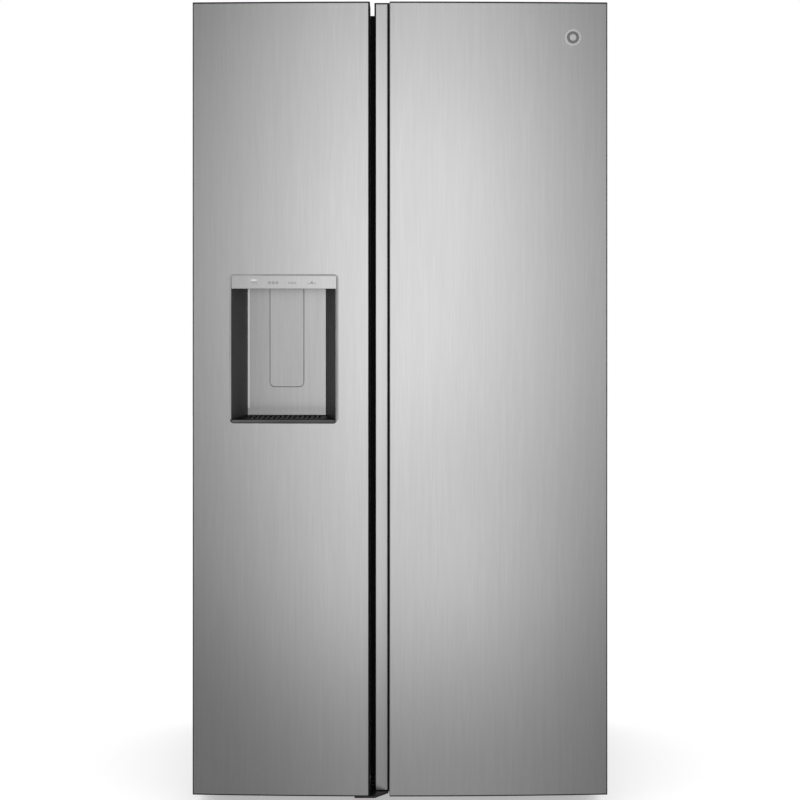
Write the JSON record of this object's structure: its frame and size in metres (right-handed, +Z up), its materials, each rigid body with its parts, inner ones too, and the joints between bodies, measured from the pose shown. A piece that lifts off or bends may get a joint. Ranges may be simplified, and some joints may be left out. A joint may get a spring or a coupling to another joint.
{
  "type": "side by side refrigerator",
  "caption": "Side by side refrigerator with a narrow freezer door holding an ice and water dispenser, a wide fresh food door and a recessed centre grip.",
  "frame": {"origin": "on the floor under the middle of the appliance's overall box", "axes": "+Z up, +X to the right as seen from the front, -Y out of the door fronts"},
  "size_m": [0.908, 0.725, 1.778],
  "materials": {
    "steel": "satin",
    "case_paint": "satin",
    "galvanised": "satin",
    "foam": "matte",
    "white_plastic": "satin",
    "clear_plastic": "gloss",
    "dark_plastic": "satin",
    "black_gloss": "gloss",
    "cap_plastic": "matte",
    "rubber": "matte",
    "black_paint": "satin",
    "zinc": "satin",
    "fin_metal": "satin",
    "white_wire": "gloss",
    "glass": "gloss",
    "icon": "gloss"
  },
  "bodies": {
    "cabinet": {"cabinet_shell": "case_paint", "cabinet_foam": "foam", "freezer_liner": "white_plastic", "fresh_food_liner": "white_plastic", "centre_rail": "black_gloss", "rear_panel": "galvanised", "machine_cover": "galvanised", "base_frame": "black_paint", "kick_grille": "dark_plastic", "compressor": "black_paint", "condenser": "black_paint", "top_hinges": "zinc", "bottom_hinges": "zinc", "hinge_covers": "case_paint", "hinge_screws": "zinc", "evaporator": "fin_metal", "evaporator_cover": "white_plastic", "freezer_shelves": "white_wire", "ice_maker": "white_plastic", "ice_bucket": "clear_plastic", "fresh_food_shelves": "glass", "air_duct": "white_plastic", "control_box": "white_plastic", "water_inlet": "white_plastic", "cord_gland": "dark_plastic"},
    "freezer_door": {"freezer_door_skin": "steel", "freezer_door_foam": "foam", "freezer_door_liner": "white_plastic", "freezer_door_caps": "cap_plastic", "freezer_door_gasket": "rubber", "freezer_door_bins": "clear_plastic", "pocket_trim": "dark_plastic", "dispenser_housing": "dark_plastic", "dispenser_backplate": "steel", "dispenser_fascia": "steel", "dispenser_icons": "icon", "ice_chute": "white_plastic"},
    "fresh_food_door": {"fresh_food_door_skin": "steel", "grip_strip": "steel", "handle_channel": "dark_plastic", "fresh_food_door_foam": "foam", "fresh_food_door_liner": "white_plastic", "fresh_food_door_caps": "cap_plastic", "fresh_food_door_gasket": "rubber", "fresh_food_door_bins": "clear_plastic", "badge_blank": "steel"},
    "paddle": {"dispenser_paddle": "steel"},
    "chute_flap": {"chute_flap": "dark_plastic"},
    "drip_tray": {"drip_tray": "dark_plastic", "drip_grille": "dark_plastic"},
    "condenser_fan": {"condenser_fan": "dark_plastic"},
    "evaporator_fan": {"evaporator_fan": "white_plastic"},
    "auger": {"auger": "white_plastic"},
    "freezer_basket": {"freezer_basket": "white_wire"},
    "crisper_upper": {"crisper_upper": "clear_plastic"},
    "crisper_lower": {"crisper_lower": "clear_plastic"},
    "levelling_leg_left": {"levelling_leg_left": "zinc"},
    "levelling_leg_right": {"levelling_leg_right": "zinc"},
    "rear_roller_left": {"rear_roller_left": "cap_plastic"},
    "rear_roller_right": {"rear_roller_right": "cap_plastic"}
  },
  "joints": [
    {"name": "freezer_door_hinge", "type": "hinge", "parent": "cabinet", "child": "freezer_door", "pos_m": [-0.438, -0.2885, 0], "axis": [0, 0, -1], "range_deg": [0, 130]},
    {"name": "fresh_food_door_hinge", "type": "hinge", "parent": "cabinet", "child": "fresh_food_door", "pos_m": [0.438, -0.2885, 0], "axis": [0, 0, 1], "range_deg": [0, 130]},
    {"name": "paddle_press", "type": "hinge", "parent": "freezer_door", "child": "paddle", "pos_m": [-0.2545, -0.24442, 1.1415], "axis": [1, 0, 0], "range_deg": [0, 6], "stiffness_Nm_per_rad": 0.9, "springref_deg": -20.05},
    {"name": "flap_open", "type": "hinge", "parent": "freezer_door", "child": "chute_flap", "pos_m": [-0.2545, -0.26642, 1.1555], "axis": [1, 0, 0], "range_deg": [0, 48]},
    {"name": "tray_pull", "type": "slide", "parent": "freezer_door", "child": "drip_tray", "axis": [0, -1, 0], "range_m": [0, 0.09]},
    {"name": "condenser_fan_spin", "type": "hinge", "parent": "cabinet", "child": "condenser_fan", "pos_m": [0.175, 0.2425, 0.108], "axis": [0, 1, 0], "continuous": true},
    {"name": "evaporator_fan_spin", "type": "hinge", "parent": "cabinet", "child": "evaporator_fan", "pos_m": [-0.239, 0.2525, 0.86], "axis": [0, 1, 0], "continuous": true},
    {"name": "auger_spin", "type": "hinge", "parent": "cabinet", "child": "auger", "pos_m": [-0.237, 0, 1.42], "axis": [0, 1, 0], "continuous": true},
    {"name": "freezer_basket_slide", "type": "slide", "parent": "cabinet", "child": "freezer_basket", "axis": [0, -1, 0], "range_m": [0, 0.16]},
    {"name": "crisper_upper_slide", "type": "slide", "parent": "cabinet", "child": "crisper_upper", "axis": [0, -1, 0], "range_m": [0, 0.25]},
    {"name": "crisper_lower_slide", "type": "slide", "parent": "cabinet", "child": "crisper_lower", "axis": [0, -1, 0], "range_m": [0, 0.16]},
    {"name": "leg_left_turn", "type": "hinge", "parent": "cabinet", "child": "levelling_leg_left", "pos_m": [-0.4, -0.2105, 0], "axis": [0, 0, 1], "continuous": true},
    {"name": "leg_right_turn", "type": "hinge", "parent": "cabinet", "child": "levelling_leg_right", "pos_m": [0.4, -0.2105, 0], "axis": [0, 0, 1], "continuous": true},
    {"name": "roller_left_spin", "type": "hinge", "parent": "cabinet", "child": "rear_roller_left", "pos_m": [-0.4, 0.3205, 0.022], "axis": [1, 0, 0], "continuous": true},
    {"name": "roller_right_spin", "type": "hinge", "parent": "cabinet", "child": "rear_roller_right", "pos_m": [0.4, 0.3205, 0.022], "axis": [1, 0, 0], "continuous": true}
  ],
  "couplings": [
    {"joint": "flap_open", "follows": "paddle_press", "ratio": 8},
    {"joint": "freezer_basket_slide", "follows": "freezer_door_hinge", "m_per_rad": 0.070517},
    {"joint": "crisper_upper_slide", "follows": "fresh_food_door_hinge", "m_per_rad": 0.11018},
    {"joint": "crisper_lower_slide", "follows": "fresh_food_door_hinge", "m_per_rad": 0.070517}
  ]
}
